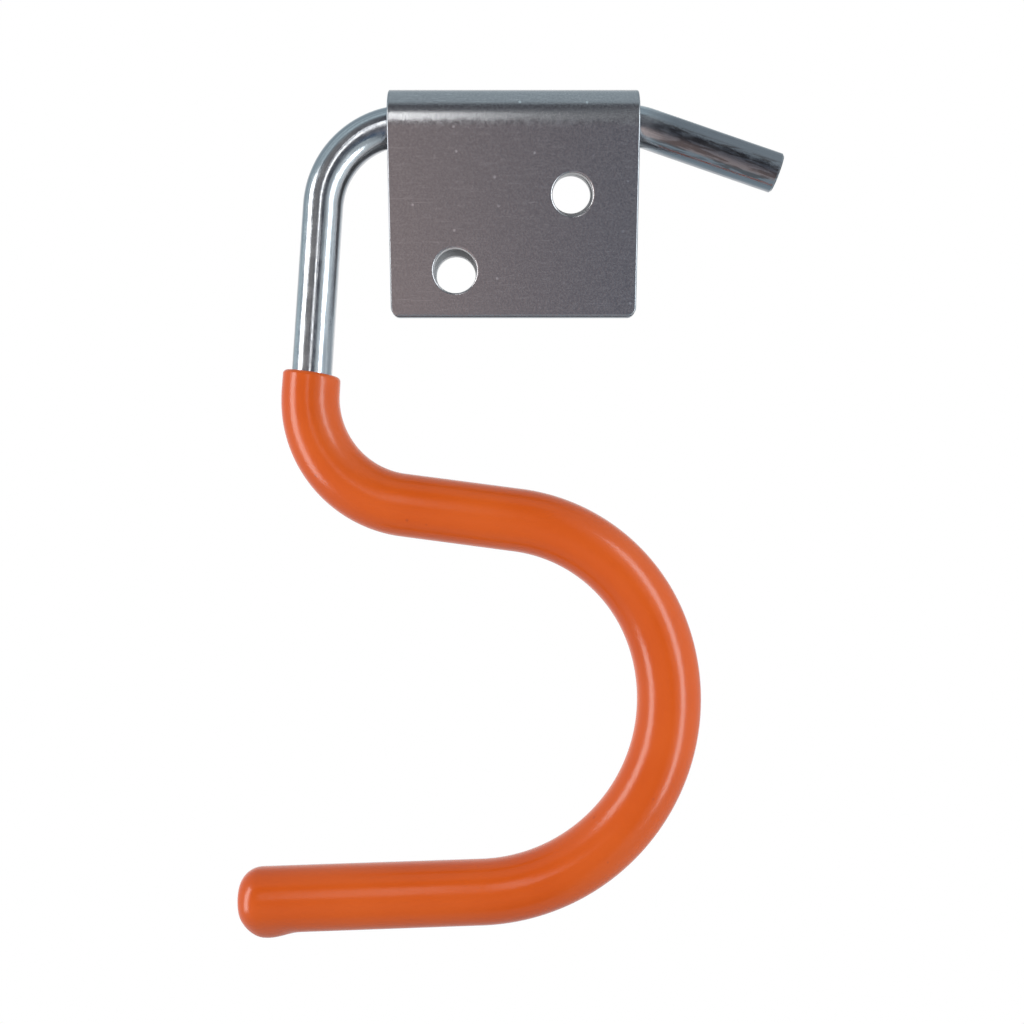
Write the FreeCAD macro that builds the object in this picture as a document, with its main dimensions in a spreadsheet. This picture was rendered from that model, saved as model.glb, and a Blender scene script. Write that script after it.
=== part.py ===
import FreeCAD, Part
import math
import os

import Sketcher
from FreeCAD import Placement, Rotation, Vector

# A swing-out utility hook: a folded sheet plate for the wall, a bent rod that turns in
# the fold, and a dipped vinyl coat on the rod. Millimetres and degrees, +Z up along the
# pivot, the wall plane at Y = 0 and the room towards -Y. The origin is the middle of the
# two screw holes on the wall plane.

# Driving sizes
SIZES = {
    # Folded plate
    "sheet_thickness": 1.8,
    "eye_clearance": 1.0,
    "plate_length": 49.6,
    "leaf_reach": 37.6,
    "leaf_gap": 0.2,
    "leaf_corner_radius": 1.6,
    "sheared_edge_radius": 0.35,
    # Screw holes, two on a diagonal in each leaf, set in from the pivot, the free edge and the ends
    "near_hole_margin": 12.5,
    "far_hole_margin": 8.5,
    "end_hole_margin": 13.1,
    "rear_hole_diameter": 8.0,
    "near_hole_diameter": 8.0,
    "far_hole_diameter": 8.7,
    "near_hole_shift": 1.9,
    "far_hole_shift": 0.3,
    # Rod, from the tail to the tip; headings are measured from the pivot axis
    "rod_diameter": 8.0,
    "rod_end_chamfer": 0.4,
    "tail_length": 27.8,
    "tail_heading": -19.1,
    "tail_bend_radius": 10.0,
    "tail_bend_inset": 1.6,
    "stem_bend_inset": 3.9,
    "stem_bend_radius": 17.2,
    "stem_heading": 86.2,
    "bare_stem": 33.6,
    "coated_stem": 3.8,
    "elbow_radius": 21.3,
    "arm_heading": 172.5,
    "arm_length": 23.2,
    "upper_bow_radius": 34.3,
    "bow_heading": 112.1,
    "lower_bow_radius": 38.7,
    "tip_heading": 2.0,
    "tip_run": 45.6,
    # Vinyl coat
    "collar_wall": 1.7,
    "arm_wall": 2.3,
    "tip_wall": 2.5,
    "dip_line_tilt": 4.5,
    "collar_lip_radius": 0.9,
    "tip_cover": 2.9,
    "tip_round": 4.6,
    "drip_drop": 2.9,
    "drip_setback": 6.4,
    "drip_radius": 4.5,
    "drip_half_length": 5.4,
}

# Sizes that follow from the driving ones
DERIVED = {
    "hole_rise": "=leaf_reach - near_hole_margin - far_hole_margin",
    "hole_spread": "=plate_length - 2 * end_hole_margin",
    "pivot_offset": "=near_hole_margin + hole_rise / 2",
    "rod_radius": "=rod_diameter / 2",
    "eye_radius": "=rod_radius + eye_clearance",
    "pivot_height": "=eye_radius + sheet_thickness",
    "pivot_run": "=plate_length - tail_bend_inset - stem_bend_inset",
    "collar_radius": "=rod_radius + collar_wall",
    "arm_radius": "=rod_radius + arm_wall",
    "tip_radius": "=rod_radius + tip_wall",
    "stem_top": "=plate_length / 2 - stem_bend_inset + stem_bend_radius * sin(stem_heading * 1deg)",
    "stem_side": "=pivot_offset - stem_bend_radius * (1 - cos(stem_heading * 1deg))",
    "collar_top": "=stem_top + bare_stem * cos(stem_heading * 1deg)",
    "collar_side": "=stem_side - bare_stem * sin(stem_heading * 1deg)",
    "coat_tip_run": "=tip_run + tip_cover",
}

# Point numbers of sketch pieces, and the sketch's own origin
LINE_START, LINE_END, ARC_CENTRE = range(1, 4)
ROOT_POINT = (-1, 1)

# Pieces of the coat's path above its arm: the stem's end and the elbow
ELBOW_PIECES = 2

# Lengths under this count as the same when edges are picked, and rounds of the fold's slope
SAME_PLACE = 1e-4
SLOPE_ROUNDS = 60

doc = FreeCAD.newDocument("UtilityHook")
sheet = doc.addObject("Spreadsheet::Sheet", "Sizes")


def fill_sheet():
    """Write each size to its own aliased cell."""
    for row, (name, content) in enumerate({**SIZES, **DERIVED}.items(), start=1):
        sheet.set(f"A{row}", name)
        sheet.set(f"B{row}", str(content))
        sheet.setAlias(f"B{row}", name)
    doc.recompute()


def size(name):
    """Read a size from the sheet."""
    return float(sheet.get(name))


def origin_plane(body, role):
    """Find one of a body's own origin planes."""
    return next(item for item in body.Origin.OriginFeatures if item.Role == role)


def new_sketch(body, name, role, offset=None):
    """Start a sketch on an origin plane of the body, moved along its normal."""
    sketch = body.newObject("Sketcher::SketchObject", name)
    sketch.AttachmentSupport = [(origin_plane(body, role), "")]
    sketch.MapMode = "FlatFace"
    if offset:
        sketch.setExpression("AttachmentOffset.Base.z", offset)
    return sketch


def bind(sketch, constraint, name, expression):
    """Add a named dimension to a sketch and tie it to the sheet."""
    index = sketch.addConstraint(constraint)
    sketch.renameConstraint(index, name)
    sketch.setExpression(f"Constraints.{name}", expression)


def fix_point(sketch, geometry, position, name, across, up):
    """Tie a point's two coordinates to the sheet."""
    place = sketch.getPoint(geometry, position)
    beside = Sketcher.Constraint("DistanceX", *ROOT_POINT, geometry, position, place.x)
    bind(sketch, beside, f"{name}_x", across)
    above = Sketcher.Constraint("DistanceY", *ROOT_POINT, geometry, position, place.y)
    bind(sketch, above, f"{name}_y", up)


def direction(heading):
    """Give the unit vector of a heading, in the path's plane."""
    angle = math.radians(heading)
    return Vector(-math.sin(angle), math.cos(angle), 0)


def draw_path(sketch, start, heading, runs):
    """Draw straight runs joined by tangent bends, and return the index and end of each piece."""
    pieces = []
    here = start
    for run in runs:
        if run[0] == "straight":
            _, name = run
            there = here + direction(heading) * size(name)
            index = sketch.addGeometry(Part.LineSegment(here, there))
            entry, leave = LINE_START, LINE_END
            bind(sketch, Sketcher.Constraint("Distance", index, size(name)), name, f"Sizes.{name}")
        else:
            _, name, next_heading = run
            turn = next_heading - heading
            side = math.copysign(1, turn)
            centre = here + direction(heading + 90 * side) * size(name)
            middle = centre - direction(heading + turn / 2 + 90 * side) * size(name)
            there = centre - direction(next_heading + 90 * side) * size(name)
            index = sketch.addGeometry(Part.Arc(here, middle, there))
            entry, leave = (LINE_START, LINE_END) if side > 0 else (LINE_END, LINE_START)
            bind(sketch, Sketcher.Constraint("Radius", index, size(name)), name, f"Sizes.{name}")
            heading = next_heading
        if pieces:
            sketch.addConstraint(Sketcher.Constraint("Tangent", *pieces[-1], index, entry))
        pieces.append((index, leave))
        here = there
    return pieces


def bind_heading(sketch, piece, name):
    """Hold a straight run at a heading of the sheet, turned from the sketch's own first axis."""
    angle = math.radians(size(name) + 90)
    bind(sketch, Sketcher.Constraint("Angle", piece[0], angle), name, f"Sizes.{name} + 90")


def bow_runs(tip_run):
    """List the runs of the hook below the collar, for the rod and its coat alike."""
    return [
        ("straight", "coated_stem"),
        ("bend", "elbow_radius", size("arm_heading")),
        ("straight", "arm_length"),
        ("bend", "upper_bow_radius", size("bow_heading")),
        ("bend", "lower_bow_radius", size("tip_heading")),
        ("straight", tip_run),
    ]


def bind_bow(sketch, pieces):
    """Set the headings of the runs that bow_runs lists."""
    _, _, arm, upper_bow, _, tip = pieces
    bind_heading(sketch, arm, "arm_heading")
    bind_heading(sketch, tip, "tip_heading")
    span = math.radians(size("arm_heading") - size("bow_heading"))
    bind(
        sketch,
        Sketcher.Constraint("Angle", upper_bow[0], span),
        "upper_bow_span",
        "Sizes.arm_heading - Sizes.bow_heading",
    )


def round_section(body, name, path, edge, parameter, radius):
    """Draw a circle square to an edge of the path, at a fraction of the edge's length."""
    section = body.newObject("Sketcher::SketchObject", name)
    section.AttachmentSupport = [(path, f"Edge{edge}")]
    section.MapMode = "NormalToEdge"
    section.MapPathParameter = parameter
    circle = section.addGeometry(Part.Circle(Vector(), Vector(0, 0, 1), size(radius)))
    section.addConstraint(Sketcher.Constraint("Coincident", circle, ARC_CENTRE, *ROOT_POINT))
    bind(section, Sketcher.Constraint("Radius", circle, size(radius)), radius, f"Sizes.{radius}")
    return section


def sweep(body, name, path, edges, sections):
    """Sweep round sections along edges of the path."""
    pipe = body.newObject("PartDesign::AdditivePipe", name)
    pipe.Profile = sections[0]
    pipe.Spine = (path, [f"Edge{number}" for number in edges])
    if len(sections) > 1:
        pipe.Sections = [(section, [""]) for section in sections[1:]]
        pipe.Transformation = "Multisection"
    doc.recompute()
    return pipe


def round_edges(body, name, base, edges, radius):
    """Fillet the listed edges of a feature with a radius from the sheet."""
    fillet = body.newObject("PartDesign::Fillet", name)
    fillet.Base = (base, edges)
    fillet.setExpression("Radius", f"Sizes.{radius}")
    doc.recompute()
    return fillet


def pick_edges(feature, test):
    """Name the edges of a feature that pass a test."""
    edges = enumerate(feature.Shape.Edges, start=1)
    return [f"Edge{number}" for number, edge in edges if test(edge)]


def ring_at(place):
    """Make a test for a closed edge that goes round a place."""
    reach = size("rod_end_chamfer")
    return lambda edge: edge.Closed and edge.BoundBox.Center.distanceToPoint(place) < reach


def fold_angle():
    """Work out the front leaf's slope, from the tangent to the eye that meets the free edge."""
    eye = size("eye_radius")
    slope = 0.0
    for _ in range(SLOPE_ROUNDS):
        reach = size("leaf_reach") - size("sheet_thickness") * math.sin(slope)
        slope = math.asin((eye + (eye - size("leaf_gap")) * math.cos(slope)) / reach)
    return slope


def fold_profile(body):
    """Draw the folded sheet's section: rear leaf, eye round the rod and sloping front leaf."""
    wall = size("sheet_thickness")
    eye = size("eye_radius")
    slope = fold_angle()
    centre = Vector(size("pivot_offset"), -size("pivot_height"), 0)
    outward = Vector(-math.sin(slope), -math.cos(slope), 0)
    free_edge = size("pivot_offset") - size("leaf_reach")
    inner_end = Vector(free_edge + wall * math.sin(slope), -wall - size("leaf_gap"), 0)
    outer_end = inner_end + outward * wall
    rear = [
        Vector(free_edge, 0, 0),
        Vector(centre.x, 0, 0),
        Vector(centre.x, -wall, 0),
        Vector(free_edge, -wall, 0),
    ]
    far_side = Vector(1, 0, 0)

    sketch = new_sketch(body, "fold_section", "XY_Plane")
    rear_back = sketch.addGeometry(Part.LineSegment(rear[0], rear[1]))
    eye_back = sketch.addGeometry(
        Part.Arc(rear[1], centre + far_side * (eye + wall), centre + outward * (eye + wall))
    )
    front_face = sketch.addGeometry(Part.LineSegment(centre + outward * (eye + wall), outer_end))
    front_end = sketch.addGeometry(Part.LineSegment(outer_end, inner_end))
    front_inside = sketch.addGeometry(Part.LineSegment(inner_end, centre + outward * eye))
    eye_inside = sketch.addGeometry(Part.Arc(centre + outward * eye, centre + far_side * eye, rear[2]))
    rear_inside = sketch.addGeometry(Part.LineSegment(rear[2], rear[3]))
    rear_end = sketch.addGeometry(Part.LineSegment(rear[3], rear[0]))

    # An arc is stored anticlockwise, so each eye arc starts at the front leaf
    joints = [
        ("Tangent", rear_back, LINE_END, eye_back, LINE_END),
        ("Tangent", eye_back, LINE_START, front_face, LINE_START),
        ("Coincident", front_face, LINE_END, front_end, LINE_START),
        ("Coincident", front_end, LINE_END, front_inside, LINE_START),
        ("Tangent", front_inside, LINE_END, eye_inside, LINE_START),
        ("Tangent", eye_inside, LINE_END, rear_inside, LINE_START),
        ("Coincident", rear_inside, LINE_END, rear_end, LINE_START),
        ("Coincident", rear_end, LINE_END, rear_back, LINE_START),
        ("Coincident", eye_back, ARC_CENTRE, eye_inside, ARC_CENTRE),
        ("Horizontal", rear_back),
        ("Vertical", rear_end),
        ("Perpendicular", front_end, front_face),
    ]
    for joint in joints:
        sketch.addConstraint(Sketcher.Constraint(*joint))
    bind(sketch, Sketcher.Constraint("Radius", eye_inside, eye), "eye", "Sizes.eye_radius")
    fix_point(sketch, eye_inside, ARC_CENTRE, "pivot", "Sizes.pivot_offset", "-Sizes.pivot_height")
    fix_point(sketch, rear_back, LINE_START, "free_edge", "Sizes.pivot_offset - Sizes.leaf_reach", "0")
    across = Sketcher.Constraint("DistanceX", *ROOT_POINT, front_face, LINE_END, outer_end.x)
    bind(sketch, across, "front_reach", "Sizes.pivot_offset - Sizes.leaf_reach")
    up = Sketcher.Constraint("DistanceY", *ROOT_POINT, front_end, LINE_END, inner_end.y)
    bind(sketch, up, "leaf_spacing", "-Sizes.sheet_thickness - Sizes.leaf_gap")
    return sketch


def drill(body, name, offset, length, holes):
    """Cut holes towards the room, from a plane parallel to the wall."""
    sketch = new_sketch(body, f"{name}_sketch", "XZ_Plane", offset)
    for label, diameter, across, up in holes:
        place = Vector(sketch.evalExpression(across), sketch.evalExpression(up), 0)
        circle = sketch.addGeometry(Part.Circle(place, Vector(0, 0, 1), size(diameter) / 2))
        across_hole = Sketcher.Constraint("Diameter", circle, size(diameter))
        bind(sketch, across_hole, f"{label}_size", f"Sizes.{diameter}")
        fix_point(sketch, circle, ARC_CENTRE, label, across, up)
    doc.recompute()
    pocket = body.newObject("PartDesign::Pocket", name)
    pocket.Profile = sketch
    pocket.Reversed = True
    if length:
        pocket.setExpression("Length", length)
    else:
        pocket.Type = "ThroughAll"
    doc.recompute()
    return pocket


def build_plate():
    """Fold the wall plate round the rod, and cut its screw holes."""
    body = doc.addObject("PartDesign::Body", "mounting_plate")
    pad = body.newObject("PartDesign::Pad", "folded_sheet")
    pad.Profile = fold_profile(body)
    pad.Midplane = True
    pad.setExpression("Length", "Sizes.plate_length")
    doc.recompute()

    free_edge = size("pivot_offset") - size("leaf_reach")
    half = size("plate_length") / 2
    wall = size("sheet_thickness")

    def at_corner(edge):
        ends = [vertex.Point for vertex in edge.Vertexes]
        at_free_edge = all(end.x - free_edge < wall for end in ends)
        return at_free_edge and abs(abs(ends[0].z + ends[-1].z) / 2 - half) < SAME_PLACE

    round_edges(body, "leaf_corners", pad, pick_edges(pad, at_corner), "leaf_corner_radius")

    # The folded-over leaf's holes miss the rear leaf's by a little
    near, far = "Sizes.hole_rise / 2", "-Sizes.hole_rise / 2"
    low, high = "-Sizes.hole_spread / 2", "Sizes.hole_spread / 2"
    between = "Sizes.sheet_thickness + Sizes.leaf_gap"
    rear_holes = [
        ("near", "rear_hole_diameter", near, low),
        ("far", "rear_hole_diameter", far, high),
    ]
    drill(body, "rear_holes", None, between, rear_holes)
    front_holes = [
        ("near", "near_hole_diameter", f"{near} - Sizes.near_hole_shift", low),
        ("far", "far_hole_diameter", f"{far} + Sizes.far_hole_shift", high),
    ]
    base = drill(body, "front_holes", between, None, front_holes)

    # The face that shows is rolled over by the shear, at its outline and its holes
    pivot = Vector(size("pivot_offset"), -size("pivot_height"), 0)
    skin = size("pivot_height")
    slope = fold_angle()
    outward = Vector(-math.sin(slope), -math.cos(slope), 0)

    def on_front_skin(edge):
        middle = edge.valueAt((edge.FirstParameter + edge.LastParameter) / 2)
        flat = Vector(middle.x, middle.y, 0) - pivot
        on_leaf = abs(flat.dot(outward) - skin) < SAME_PLACE
        on_eye = abs(flat.Length - skin) < SAME_PLACE
        balanced = abs(edge.Vertexes[0].Point.z + edge.Vertexes[-1].Point.z) < SAME_PLACE
        at_fold = balanced and edge.Length > half and flat.x > -skin
        return (on_leaf or on_eye) and not at_fold

    round_edges(body, "sheared_edges", base, pick_edges(base, on_front_skin), "sheared_edge_radius")
    return body


def build_rod():
    """Bend the rod: tail, run through the eye, stem, elbow, arm, bow and tip."""
    body = doc.addObject("PartDesign::Body", "hook_rod")
    path = new_sketch(body, "rod_path", "XZ_Plane", "Sizes.pivot_height")
    tail = direction(size("tail_heading"))
    pivot_start = Vector(size("pivot_offset"), size("tail_bend_inset") - size("plate_length") / 2, 0)
    bend_centre = pivot_start + Vector(-size("tail_bend_radius"), 0, 0)
    bend_start = bend_centre - direction(size("tail_heading") + 90) * size("tail_bend_radius")
    runs = [
        ("straight", "tail_length"),
        ("bend", "tail_bend_radius", 0),
        ("straight", "pivot_run"),
        ("bend", "stem_bend_radius", size("stem_heading")),
        ("straight", "bare_stem"),
        *bow_runs("tip_run"),
    ]
    pieces = draw_path(path, bend_start - tail * size("tail_length"), size("tail_heading"), runs)
    bind_heading(path, pieces[0], "tail_heading")
    path.addConstraint(Sketcher.Constraint("Vertical", pieces[2][0]))
    fix_point(
        path, pieces[2][0], LINE_START, "pivot", "Sizes.pivot_offset",
        "Sizes.tail_bend_inset - Sizes.plate_length / 2",
    )
    bind_heading(path, pieces[4], "stem_heading")
    bind_bow(path, pieces[5:])
    doc.recompute()

    section = round_section(body, "rod_section", path, 1, 0.0, "rod_radius")
    pipe = sweep(body, "bent_rod", path, range(1, len(pieces) + 1), [section])
    tail_end = path.getPoint(0, LINE_START)
    tail_place = Vector(tail_end.x, -size("pivot_height"), tail_end.y)
    chamfer = body.newObject("PartDesign::Chamfer", "tail_chamfer")
    chamfer.Base = (pipe, pick_edges(pipe, ring_at(tail_place)))
    chamfer.setExpression("Size", "Sizes.rod_end_chamfer")
    doc.recompute()
    return body


def build_coat(rod):
    """Dip the hook in vinyl: a wall that thickens towards the tip, a lip, a round end and a drip."""
    body = doc.addObject("PartDesign::Body", "coat_skin")
    path = new_sketch(body, "coat_path", "XZ_Plane", "Sizes.pivot_height")
    start = Vector(size("collar_side"), size("collar_top"), 0)
    pieces = draw_path(path, start, size("stem_heading"), bow_runs("coat_tip_run"))
    fix_point(path, pieces[0][0], LINE_START, "collar", "Sizes.collar_side", "Sizes.collar_top")
    bind_heading(path, pieces[0], "stem_heading")
    bind_bow(path, pieces)
    doc.recompute()

    # The dip left the collar's edge at a slant
    collar = round_section(body, "collar_section", path, 1, 0.0, "collar_radius")
    collar.AttachmentOffset = Placement(Vector(), Rotation(Vector(1, 0, 0), size("dip_line_tilt")))
    collar.setExpression("AttachmentOffset.Rotation.Angle", "Sizes.dip_line_tilt")
    arm_edge = ELBOW_PIECES + 1
    tip_edge = len(pieces)
    arm = round_section(body, "arm_section", path, arm_edge, 0.0, "arm_radius")
    tip = round_section(body, "tip_section", path, tip_edge, 1.0, "tip_radius")
    sweep(body, "coat_elbow", path, range(1, arm_edge), [collar, arm])
    bow = sweep(body, "coat_bow", path, range(arm_edge, tip_edge + 1), [arm, tip])

    plane = -size("pivot_height")
    collar_ring = pick_edges(bow, ring_at(Vector(start.x, plane, start.y)))
    lip = round_edges(body, "collar_lip", bow, collar_ring, "collar_lip_radius")
    last = path.getPoint(pieces[-1][0], LINE_END)
    tip_ring = pick_edges(lip, ring_at(Vector(last.x, plane, last.y)))
    round_edges(body, "round_tip", lip, tip_ring, "tip_round")

    drip = body.newObject("PartDesign::AdditiveEllipsoid", "drip")
    drip.AttachmentSupport = [(path, f"Edge{tip_edge}")]
    drip.MapMode = "NormalToEdge"
    drip.MapPathParameter = 1.0
    drip.setExpression("AttachmentOffset.Base.y", "-Sizes.drip_drop")
    drip.setExpression("AttachmentOffset.Base.z", "Sizes.drip_setback")
    drip.setExpression("Radius1", "Sizes.drip_half_length")
    drip.setExpression("Radius2", "Sizes.drip_radius")
    drip.setExpression("Radius3", "Sizes.drip_radius")
    doc.recompute()

    coat = doc.addObject("Part::Cut", "vinyl_coat")
    coat.Base = body
    coat.Tool = rod
    doc.recompute()
    return coat


def check(items):
    """Stop before writing if any object failed or any solid is not whole."""
    failed = [item.Label for item in doc.Objects if "Invalid" in item.State or "Error" in item.State]
    if failed:
        raise RuntimeError(f"failed objects: {failed}")
    for item in items:
        shape = item.Shape
        if shape.isNull() or not shape.isValid() or len(shape.Solids) != 1:
            raise RuntimeError(f"{item.Label} is not one whole solid")


fill_sheet()
plate = build_plate()
rod = build_rod()
nodes = [plate, rod, build_coat(rod)]
doc.recompute()
check(nodes)
os.makedirs("parts", exist_ok=True)
for node in nodes:
    print(node.Label, round(node.Shape.Volume, 1), node.Shape.BoundBox)
    node.Shape.exportStep(f"parts/{node.Label}.step")
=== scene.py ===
"""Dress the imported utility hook: smooth bar, dipped coat, folded plate, finishes and studio."""

import logging
import math
from dataclasses import dataclass
from enum import Enum

import bpy
from bpy.types import Material, Node, NodeSocket as Socket, NodeTree, Object
from mathutils import Color, Matrix, Vector

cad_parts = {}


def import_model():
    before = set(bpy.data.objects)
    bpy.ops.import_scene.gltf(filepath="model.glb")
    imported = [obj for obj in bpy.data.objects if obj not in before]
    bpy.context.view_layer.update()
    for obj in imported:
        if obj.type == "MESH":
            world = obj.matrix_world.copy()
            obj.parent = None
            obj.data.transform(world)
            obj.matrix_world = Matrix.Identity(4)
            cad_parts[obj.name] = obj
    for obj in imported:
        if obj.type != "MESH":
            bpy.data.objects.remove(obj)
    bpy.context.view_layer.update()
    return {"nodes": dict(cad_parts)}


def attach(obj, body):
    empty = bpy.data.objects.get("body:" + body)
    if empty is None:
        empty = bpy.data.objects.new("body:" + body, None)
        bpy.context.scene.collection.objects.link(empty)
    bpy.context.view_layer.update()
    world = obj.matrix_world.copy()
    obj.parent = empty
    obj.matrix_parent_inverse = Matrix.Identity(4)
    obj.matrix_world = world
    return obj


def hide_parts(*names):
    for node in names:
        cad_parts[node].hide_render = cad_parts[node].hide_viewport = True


LOG = logging.getLogger("utility_hook")

Linear = tuple[float, float, float, float]
Triple = tuple[float, float, float]
Span = tuple[float, float]

MM = 0.001
FRAME_PIXELS = 1024
SENSOR_MM = 36.0
WHITE: Linear = (1.0, 1.0, 1.0, 1.0)

# Directions in the frame: towards the viewer, and the picture's up and right
OUT_OF_WALL: Triple = (0.0, -1.0, 0.0)
PICTURE_UP: Triple = (1.0, 0.0, 0.0)
PICTURE_RIGHT: Triple = (0.0, 0.0, -1.0)

# Attributes that a swept bar carries: its length, its radius and its place on the straightened bar
LENGTH_NAME = "bar_length"
RADIUS_NAME = "bar_radius"
STRAIGHT_NAME = "bar_straight"


class Body(Enum):
    """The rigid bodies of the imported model."""

    PLATE = "plate"
    HOOK = "hook"


class Solid(Enum):
    """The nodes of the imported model."""

    PLATE = "mounting_plate"
    ROD = "hook_rod"
    COAT = "vinyl_coat"


class Slot(Enum):
    """The record's material slots."""

    PLATE = "plate_zinc"
    ROD = "rod_zinc"
    COAT = "orange_vinyl"


class Kind(Enum):
    """The types of the node groups' sockets."""

    FLOAT = "NodeSocketFloat"
    INTEGER = "NodeSocketInt"
    VECTOR = "NodeSocketVector"
    GEOMETRY = "NodeSocketGeometry"
    MATERIAL = "NodeSocketMaterial"


class Operation(Enum):
    """The sums that the node trees use."""

    ADD = "ADD"
    SUBTRACT = "SUBTRACT"
    MULTIPLY = "MULTIPLY"
    MAXIMUM = "MAXIMUM"
    ABSOLUTE = "ABSOLUTE"


def display(red: int, green: int, blue: int) -> Linear:
    """Turn a display colour, in values up to 255, into the linear one that shaders take."""
    shares = Color(value / 255 for value in (red, green, blue))
    return (*shares.from_srgb_to_scene_linear(), 1.0)


def grey(level: float) -> Linear:
    """Give the linear grey of a level."""
    return (level, level, level, 1.0)


def link(item: Object) -> Object:
    """Put an object into the scene."""
    bpy.context.scene.collection.objects.link(item)
    return item


class Wiring:
    """Adds nodes to a tree and links their sockets."""

    def __init__(self, tree: NodeTree) -> None:
        """Keep the tree that the nodes go into."""
        self.tree = tree

    def add(self, kind: str, inputs: dict | None = None, **settings: object) -> Node:
        """Add a node, set its properties and fill its inputs.

        Args:
            kind: The node's type name.
            inputs: Socket name or number to a plain value or an output socket.
            settings: Properties of the node itself.

        Returns:
            The new node.
        """
        node = self.tree.nodes.new(kind)
        for name, value in settings.items():
            setattr(node, name, value)
        for name, value in (inputs or {}).items():
            self.feed(node.inputs[name], value)
        return node

    def feed(self, socket: Socket, value: object) -> None:
        """Link an output socket to an input, or set the input's own value.

        Args:
            socket: The input socket.
            value: An output socket or a plain value.
        """
        if isinstance(value, Socket):
            self.tree.links.new(value, socket)
        else:
            socket.default_value = value

    def attribute(self, name: str) -> Socket:
        """Read a number that a mesh carries, in a geometry tree."""
        node = self.add("GeometryNodeInputNamedAttribute", {"Name": name}, data_type="FLOAT")
        return node.outputs["Attribute"]

    def compute(self, operation: Operation, first: object, second: object = 0.0) -> Socket:
        """Do one sum on two values, each a socket or a number."""
        node = self.add("ShaderNodeMath", {0: first, 1: second}, operation=operation.value)
        return node.outputs[0]

    def product(self, first: Socket, *others: object) -> Socket:
        """Multiply a value by others, one after another."""
        for other in others:
            first = self.compute(Operation.MULTIPLY, first, other)
        return first

    def highest(self, first: Socket, *others: object) -> Socket:
        """Take the highest of several values."""
        for other in others:
            first = self.compute(Operation.MAXIMUM, first, other)
        return first

    def step(
        self, value: Socket, low: object, high: object, start: float = 0.0, end: float = 1.0
    ) -> Socket:
        """Rise or fall smoothly as a value passes from low to high.

        Args:
            value: The socket that is read.
            low: Where the change begins, as a number or a socket.
            high: Where the change ends, as a number or a socket.
            start: The result up to low.
            end: The result from high on.

        Returns:
            The result's socket.
        """
        limits = {"Value": value, "From Min": low, "From Max": high, "To Min": start, "To Max": end}
        node = self.add("ShaderNodeMapRange", limits, interpolation_type="SMOOTHSTEP")
        return node.outputs["Result"]

    def fall(self, value: Socket, low: object, high: object) -> Socket:
        """Fall smoothly from 1 to 0 as a value passes from low to high."""
        return self.step(value, low, high, 1.0, 0.0)

    def spread(self, mask: Socket, span: Span) -> Socket:
        """Turn a mask from 0 to 1 into a value from one end of a span to the other."""
        return self.step(mask, 0.0, 1.0, *span)

    def tint(self, factor: Socket, first: object, second: object) -> Socket:
        """Mix two colours.

        Args:
            factor: The share of the second colour.
            first: A colour or its socket.
            second: A colour or its socket.

        Returns:
            The mixed colour's socket.
        """
        node = self.add("ShaderNodeMix", {"Factor": factor}, data_type="RGBA")
        colours = [socket for socket in node.inputs if socket.type == "RGBA"]
        self.feed(colours[0], first)
        self.feed(colours[1], second)
        return next(socket for socket in node.outputs if socket.type == "RGBA")


def new_group(name: str, kind: str, inputs: dict[str, Kind], outputs: dict[str, Kind]) -> tuple:
    """Start a node group with named sockets.

    Args:
        name: The group's name.
        kind: The tree's type name.
        inputs: Socket names and their types.
        outputs: Socket names and their types.

    Returns:
        The group's wiring, its input node and its output node.
    """
    tree = bpy.data.node_groups.new(name, kind)
    for side, sockets in (("INPUT", inputs), ("OUTPUT", outputs)):
        for label, socket_kind in sockets.items():
            tree.interface.new_socket(label, in_out=side, socket_type=socket_kind.value)
    wiring = Wiring(tree)
    return wiring, wiring.add("NodeGroupInput"), wiring.add("NodeGroupOutput")


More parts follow.
